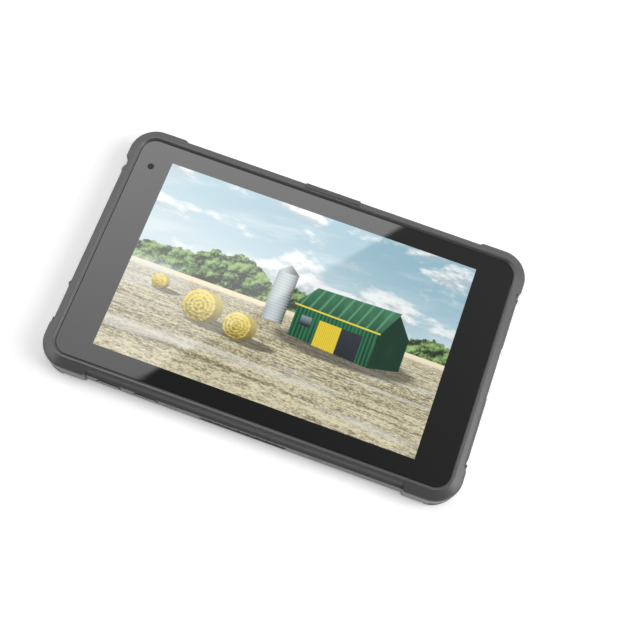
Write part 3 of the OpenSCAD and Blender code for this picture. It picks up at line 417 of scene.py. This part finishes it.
    shade = within(1.13, 0.352, 0.36, 6.5).over(-0.05, 0.05)
    view = art.blend(shade * 0.75, view, ground_shade)
    ribs = (across * 330.0).math("SINE").over(-1.0, 1.0)
    weather = art.noise(20.0, 6.0, 0.6, art.point(across, v * 0.35, 7.7))
    wall_tone = (ribs * 0.45 + weather * 0.7 + (v - 0.4) * 1.5).over(0.2, 1.0)
    seams = ((across - v * 0.4) * 130.0).math("SINE").over(0.55, 1.0)
    roof_tone = (seams * 0.5 + weather * 0.6 + (v - 0.52) * 2.0).over(0.1, 1.0)
    planks = (across * 700.0).math("SINE").over(-1.0, 1.0)
    wall = art.blend(wall_tone, green_dark, green_lit)
    end = art.blend(weather, end_dark, end_lit)
    roof = art.blend(roof_tone, roof_dark, roof_lit)
    opening = art.blend(leaf * 0.6 + (v - 0.34) * 3.0, inside_dark, inside_lit)
    door = art.blend(planks * 0.4 + leaf * 0.5, yellow_dull, yellow_lit)
    pane = art.blend(v.over(0.43, 0.48), pane_dark, pane_lit)
    for colour, corners in (
            (wall, (foot_left, top_left, top_corner, foot_corner)),
            (end, (foot_corner, top_corner, gable, top_right, foot_right)),
            (roof, ((0.825, 0.525), (0.905, 0.635), (1.33, 0.650), (1.262, 0.518))),
            (trim_yellow, ((0.825, 0.519), (0.825, 0.527), (1.262, 0.520), (1.262, 0.512))),
            (opening, ((1.075, 0.345), (1.075, 0.480), (1.185, 0.478), (1.185, 0.339))),
            (door, ((0.965, 0.351), (0.965, 0.482), (1.078, 0.480), (1.078, 0.345))),
            (pane, ((0.875, 0.430), (0.875, 0.480), (0.928, 0.479), (0.928, 0.428)))):
        view = art.blend(shape(*corners), view, colour)

    # Round straw bales, seen end on, with their wound layers, lit flanks and shadows
    bale_shadow = grey(78, (1.0, 0.90, 0.70))
    flank_shade, flank_lit = grey(70, (1.1, 0.90, 0.36)), grey(196, (1.10, 0.92, 0.34))
    layer_shade, layer_lit = grey(120, (1.10, 0.82, 0.12)), grey(234, (1.10, 0.91, 0.26))
    fray = leaf * 0.008
    for cx, cy, radius in ((0.170, 0.400, 0.038), (0.395, 0.352, 0.082), (0.600, 0.318, 0.068)):
        cast = within(cx + radius * 1.3, cy - radius * 0.9, radius * 1.9, 5.5)
        cast = cast.over(-radius * 0.3, radius * 0.3)
        view = art.blend(cast * 0.75, view, bale_shadow)
        height = (v - cy) / radius
        flank = within(cx + radius * 0.5, cy + radius * 0.02, radius * 0.96) + fray
        tone = height.over(-0.9, 1.0) * 0.8 + crumbs * 0.4
        flank_colour = art.blend(tone, flank_shade, flank_lit)
        view = art.blend(flank.over(0.002, 0.006), view, flank_colour)
        face = within(cx, cy, radius) + fray
        layers = (face * (26.0 / radius) + leaf * 7.0).math("SINE").over(-1.0, 1.0)
        straw_tone = (layers * 0.16 + crumbs * 1.3 + height * 0.22).over(0.40, 1.02)
        straw = art.blend(straw_tone, layer_shade, layer_lit)
        view = art.blend(face.over(0.003, 0.007), view, straw)

    # Only the window is lit
    across_in = (u * (1.0 - u)).math("GREATER_THAN", 0.0)
    up_in = (v * (1.0 - v)).math("GREATER_THAN", 0.0)
    return view, across_in * up_in


glass = Finish("printed cover glass", IOR=1.5, Emission_Strength=1.0)
picture, lit = farm_picture(glass)
black = (0.0, 0.0, 0.0, 1.0)
glass.feed(glass.shader.inputs["Emission Color"], glass.blend(lit, black, picture))
ink = glass.blend(glass.noise(900.0, 2.0), grey(14), grey(19, (0.95, 1.0, 1.06)))
glass.feed(glass.shader.inputs["Base Color"], glass.blend(lit, ink, black))
wipes = glass.noise(16.0, 4.0, 0.6, glass.stretched(1.0, 2.4, 1.0), 0.6)
glass.feed(glass.shader.inputs["Roughness"], glass.between(wipes.over(0.35, 0.75), 0.02, 0.06))
paint(glass.material, "cover_glass")


# ---------- Front camera's window ----------
# At the top left, the coated lens sits on the black print of the glass and shows as a small
# dark dot: a rim, a dished seat and the lens's crown.

lens_r = 0.00175
lens_t = 0.0001
lens_place, _ = place_on(nodes["cover_glass"], IMAGE_POINTS["camera_lens"])
bpy.ops.object.select_all(action="DESELECT")
bpy.ops.mesh.primitive_cylinder_add(vertices=48, radius=lens_r, depth=lens_t, location=lens_place)
lens = bpy.context.object
lens.name = "camera_lens"
bpy.ops.object.transform_apply(location=True)
bpy.ops.object.mode_set(mode="EDIT")
bpy.ops.mesh.select_mode(type="FACE")
bpy.ops.mesh.select_all(action="DESELECT")
bpy.ops.object.mode_set(mode="OBJECT")
for face in lens.data.polygons:
    face.select = face.normal.z > 0.9
bpy.ops.object.mode_set(mode="EDIT")
for step, rise in ((0.0004, -0.00003), (0.0005, 0.0), (0.0004, 0.00002)):
    bpy.ops.mesh.inset(thickness=step)
    bpy.ops.transform.translate(value=(0.0, 0.0, rise))
bpy.ops.object.mode_set(mode="OBJECT")
bpy.ops.object.shade_smooth_by_angle(angle=math.radians(30))

coating = Finish("coated lens", Roughness=0.2, Specular_IOR_Level=0.1)
lens_x, lens_y, _ = coating.axes()
off_x = (lens_x - lens_place.x).math("POWER", 2.0)
off_y = (lens_y - lens_place.y).math("POWER", 2.0)
rim = (off_x + off_y).math("SQRT").over(0.0005, 0.0012)
coating.feed(coating.shader.inputs["Base Color"],
             coating.blend(rim, grey(34, (0.8, 0.85, 1.3)), grey(24)))
lens.data.materials.append(coating.material)
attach(lens, "case")


# ---------- Metal pieces ----------
# Hinge pins, screws, shields, port shells and the liners of the guide slots are steel; the
# accessory inserts are brass and the dock's contacts are gold plated.


def metal_finish(name, colour, rough, brush=(1.0, 1.0, 1.0)):
    """Metal with fine drawn lines, which run along the axis that brush makes shortest."""
    new = Finish(name, Metallic=1.0)
    lines = new.noise(2400.0, 3.0, 0.6, new.stretched(*brush))
    stains = new.noise(260.0, 3.0, 0.6)
    dark = tuple(value * 0.78 for value in colour[:3]) + (1.0,)
    new.feed(new.shader.inputs["Base Color"], new.blend(stains.over(0.3, 0.7), dark, colour))
    worn = new.between(lines * 0.6 + stains * 0.4, rough - 0.08, rough + 0.12)
    new.feed(new.shader.inputs["Roughness"], worn)
    new.bump(lines, 0.000012, 0.5, 0.00008)
    return new.material


steel = metal_finish("stainless steel", (0.56, 0.57, 0.58, 1.0), 0.30, (1.0, 1.0, 0.08))
tin = metal_finish("tinned sheet", (0.66, 0.67, 0.68, 1.0), 0.36, (0.1, 1.0, 1.0))
brass = metal_finish("turned brass", (0.62, 0.46, 0.18, 1.0), 0.28, (1.0, 1.0, 0.1))
gold = metal_finish("gold plating", (0.80, 0.58, 0.22, 1.0), 0.22)
alloy = metal_finish("blasted alloy", (0.36, 0.37, 0.38, 1.0), 0.55)
paint(steel, "io_door_pin", "card_door_pin", "inlet_door_pin", "rocker_pin", "key_bracket",
      "rear_screws", "chassis_screws", "usb_a_port", "hdmi_port", "usb_c_port", "card_reader",
      "dock_guides", "speaker_mesh")
paint(tin, "shield_cans", "key_switches")
paint(brass, "mount_inserts")
paint(gold, "dock_contacts", "microphone")
paint(alloy, "chassis_plate")


# ---------- Boards, battery and black plastic pieces ----------
# Two green boards with tinned pads, a battery in shrink wrap, and moulded bodies of black
# nylon for the jack, the power inlet, the dock connector, the cameras and the speaker.

board = Finish("circuit board", Roughness=0.42, Coat_Weight=0.3)
mask_dark, mask_lit = (0.012, 0.10, 0.045, 1.0), (0.03, 0.17, 0.08, 1.0)
pad_tin = (0.5, 0.48, 0.4, 1.0)
tracks = board.add("ShaderNodeTexBrick", {
    "Vector": board.place, "Scale": 260.0, "Mortar Size": 0.07, "Row Height": 0.6,
    "Brick Width": 2.4})
copper = board.wire(tracks.outputs["Fac"])
pads = board.add("ShaderNodeTexVoronoi", {"Vector": board.place, "Scale": 420.0}, feature="F1")
pad_share = board.wire(pads.outputs["Distance"]).over(0.16, 0.12)
mask_colour = board.blend(copper, mask_dark, mask_lit)
board.feed(board.shader.inputs["Base Color"], board.blend(pad_share * 0.8, mask_colour, pad_tin))
board.bump(copper, 0.00003, 0.6)
paint(board.material, "main_board", "sub_board", "key_board")

wrap = moulded_finish("battery wrap", 58, 0.35, 700.0, 0.00004, (0.9, 0.98, 1.1))
nylon = moulded_finish("black nylon", 38, 0.5, 2400.0, 0.00004)
paint(wrap, "battery_pack")
paint(nylon, "front_camera", "audio_jack", "power_inlet", "dock_connector", "rear_camera",
      "speaker")

panel = Finish("display panel", Roughness=0.25)
panel.feed(panel.shader.inputs["Base Color"],
           panel.blend(panel.noise(1500.0), grey(40, (0.9, 1.0, 1.1)), grey(52, (0.9, 1.0, 1.1))))
paint(panel.material, "display_panel")

window = Finish("dark camera glass", Roughness=0.04, Coat_Weight=0.4)
window.feed(window.shader.inputs["Base Color"],
            window.blend(window.noise(800.0), grey(16), grey(24)))
paint(window.material, "camera_window")

diffuser = Finish("flash diffuser", Roughness=0.3, Transmission_Weight=0.25)
diffuser.feed(diffuser.shader.inputs["Base Color"],
              diffuser.blend(diffuser.noise(1500.0), grey(214), grey(236, (1.0, 0.98, 0.9))))
diffuser.bump(diffuser.noise(2600.0), 0.00004)
paint(diffuser.material, "flash_guide")


# ---------- Seals, doors, keys and grip pad ----------
# The three port doors are rubber over a stiff core and hinge on steel pins. The keys are
# satin plastic, and the grip pad on the back wall is ribbed rubber.

seal_rubber = moulded_finish("soft seal rubber", 40, 0.8, 1500.0, 0.00003)
door_rubber = moulded_finish("door rubber", 69, 0.62, 2100.0, 0.00006, satin=True)
key_plastic = moulded_finish("key plastic", 63, 0.48, 2800.0, 0.00004, satin=True)
pad_rubber = moulded_finish("grip pad rubber", 78, 0.70, 2000.0, 0.00006)
paint(seal_rubber, "housing_seal", "glass_gasket", "io_door_seal", "card_door_seal",
      "inlet_door_seal")
paint(door_rubber, "io_door", "card_door", "inlet_door")
paint(key_plastic, "power_key", "volume_rocker")
paint(pad_rubber, "back_grip_pad")


# ---------- Floor and studio light ----------
# A plain white table under soft lamps, the main one high on the right. The panels, screens and
# black cloth round it show only in glossy surfaces: they make the glass's two tones and the
# sheen on the plastic's slopes, and leave the front ones dark.

white = (1.0, 1.0, 1.0, 1.0)
world_light = 0.20
table_glow = 0.30


def shown_rays(tree):
    """1 for what the camera, gloss and glass show, and 0 for the light on a matt surface."""
    rays = tree.nodes.new("ShaderNodeLightPath").outputs
    shown = Wire(tree, rays["Is Camera Ray"])
    for name in ("Is Glossy Ray", "Is Transmission Ray"):
        shown = shown.math("MAXIMUM", Wire(tree, rays[name]))
    return shown


bpy.ops.object.select_all(action="DESELECT")
bpy.ops.mesh.primitive_plane_add(size=6.0, location=(0, 0, 0))
floor = bpy.context.object
floor.name = "floor"
paper = Finish("white paper", Roughness=0.9, Specular_IOR_Level=0.1)
paper.feed(paper.shader.inputs["Base Color"], (0.88, 0.88, 0.88, 1.0))
paper.feed(paper.shader.inputs["Emission Color"], white)
paper.feed(paper.shader.inputs["Emission Strength"], shown_rays(paper.tree) * table_glow)
floor.data.materials.append(paper.material)
floor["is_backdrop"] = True

world = bpy.data.worlds.new("studio")
scene.world = world
world.use_nodes = True
air = world.node_tree
air_level = shown_rays(air) * (1.0 - world_light) + world_light
air.links.new(air_level.socket, air.nodes["Background"].inputs["Strength"])
air.nodes["Background"].inputs["Color"].default_value = white

for name, place, size, power, in_gloss in (
        ("right lamp", (1.25, 0.15, 1.15), 1.1, 16.5, True),
        ("left lamp", (-1.20, 0.30, 1.30), 1.2, 4.0, False),
        ("top lamp", (0.10, 0.20, 1.70), 1.2, 9.5, False)):
    bpy.ops.object.light_add(type="AREA", location=place)
    lamp = bpy.context.object
    lamp.name = name
    lamp.data.shape = "DISK"
    lamp.data.size = size
    lamp.data.energy = power
    lamp.rotation_euler = (-Vector(place)).to_track_quat("-Z", "Y").to_euler()
    lamp.visible_glossy = in_gloss


def reflected(name, finish, strength, corners):
    """A staged panel that glows, and that shows only in glossy surfaces."""
    glow = finish.add("ShaderNodeEmission", {"Color": white, "Strength": strength})
    finish.feed(finish.tree.nodes["Material Output"].inputs["Surface"], glow.outputs[0])
    sheet = bpy.data.meshes.new(name)
    sheet.from_pydata(corners, [], [(0, 1, 2, 3)])
    sheet.materials.append(finish.material)
    panel = bpy.data.objects.new(name, sheet)
    scene.collection.objects.link(panel)
    panel.visible_camera = False
    panel.visible_diffuse = False
    panel.visible_shadow = False
    panel.visible_transmission = False
    panel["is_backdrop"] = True


# The glare's edge on the glass, and the same line on a panel hung over the table
panel_height = 1.5
panel_reach = 3.0
mirror_eye = Vector((camera_place.x, camera_place.y, 2 * glass_top - camera_place.z))
glare_edge = [Vector((0.0437, 0.0646, glass_top)), Vector((-0.0551, -0.0617, glass_top))]
spread = (panel_height - glass_top) / (glass_top - mirror_eye.z)
high_edge = [point + (point - mirror_eye) * spread for point in glare_edge]
along = (high_edge[0] - high_edge[1]).normalized()
leftwards = Vector((-along.y, along.x, 0.0))

tones = Finish("hung panels")
tx, ty, _ = tones.axes()
side = (tx - high_edge[0].x) * leftwards.x + (ty - high_edge[0].y) * leftwards.y
run = (tx - high_edge[1].x) * along.x + (ty - high_edge[1].y) * along.y
bright = tones.between((run * 0.75 + side * 0.9).over(-0.2, 0.9), 3.0, 5.6)
dim = tones.between(run.over(0.0, 0.95), 0.26, 0.66)
share = side.over(0.0, 0.012).math("MAXIMUM", tx.over(-1.1, -1.6)) * ty.over(1.5, 1.0)
front_left, front_right = (-panel_reach, -panel_reach), (panel_reach, -panel_reach)
back_left, back_right = (-panel_reach, panel_reach), (panel_reach, panel_reach)
reflected("hung_panels", tones, share * bright + (1.0 - share) * dim,
          [corner + (panel_height,) for corner in (front_left, front_right, back_right, back_left)])

for name, strength, start, end in (("front_cloth", 0.08, front_left, front_right),
                                   ("left_screen", 1.7, front_left, back_left),
                                   ("back_screen", 1.5, back_left, back_right),
                                   ("right_screen", 2.2, back_right, front_right)):
    reflected(name, Finish(name), strength,
              [start + (0.0,), end + (0.0,), end + (panel_height,), start + (panel_height,)])


# The knuckle's end counts sides that the frame hides, so it reads 6 pixels off, while the bump
# in view is about 2 from its point.


def to_photo(place):
    """Where a place shows in the photo's frame."""
    local = camera.matrix_world.inverted() @ place
    scale = pixels_deep / -local.z
    return PHOTO / 2 + scale * local.x, PHOTO / 2 - scale * local.y


def middle_of(name, chosen):
    """Where the middle of the chosen part of a node shows in the photo's frame."""
    spots = [to_photo(vertex.co) for vertex in nodes[name].data.vertices if chosen(vertex.co)]
    xs = [spot[0] for spot in spots]
    ys = [spot[1] for spot in spots]
    return (min(xs) + max(xs)) / 2, (min(ys) + max(ys)) / 2


shown_at = {}
outline = [to_photo(vertex.co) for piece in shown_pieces() for vertex in piece.data.vertices]
shown_at["left"] = (min(p[0] for p in outline), None)
shown_at["right"] = (max(p[0] for p in outline), None)
shown_at["top"] = (None, min(p[1] for p in outline))
shown_at["bottom"] = (None, max(p[1] for p in outline))
for name, sx, sy in (("picture_top_left", -1, 1), ("picture_top_right", 1, 1),
                     ("picture_bottom_right", 1, -1), ("picture_bottom_left", -1, -1)):
    corner = Vector((window_x + sx * window_w / 2, window_y + sy * window_h / 2, glass_top))
    shown_at[name] = to_photo(corner)
shown_at["camera_lens"] = to_photo(lens_place)
mic_place = Vector((0.1052, 0.0534, glass_top))
shown_at["microphone_hole"] = middle_of(
    "front_frame", lambda place: (place - mic_place).length < 0.0012)
wall_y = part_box("power_key")[0].y + 0.0005
for name in ("power_key", "volume_rocker"):
    shown_at[name] = middle_of(name, lambda place: place.y < wall_y)
shown_at["guide_slot_left"] = middle_of(
    "dock_guides", lambda place: place.x < 0 and place.y < wall_y)
shown_at["guide_slot_right"] = middle_of(
    "dock_guides", lambda place: place.x > 0 and place.y < wall_y)
pad_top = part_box("back_grip_pad")[1].z - 0.002
shown_at["grip_pad"] = middle_of("back_grip_pad", lambda place: place.z > pad_top)
for name, node in (("port_door_tab", "io_door"), ("card_door_tab", "card_door")):
    free_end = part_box(node)[1] - Vector((0.0, 0.0026, 0.0015))
    shown_at[name] = middle_of(node, lambda place: place.y > free_end.y and place.z > free_end.z)
knuckle_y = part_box("io_door")[0].y + 0.002
shown_at["port_door_knuckle"] = middle_of("io_door", lambda place: place.y < knuckle_y)
for name, (px, py) in shown_at.items():
    wanted = IMAGE_POINTS[name]
    None if px is None or wanted[0] is None else round(px - wanted[0], 2)
    None if py is None or wanted[1] is None else round(py - wanted[1], 2)
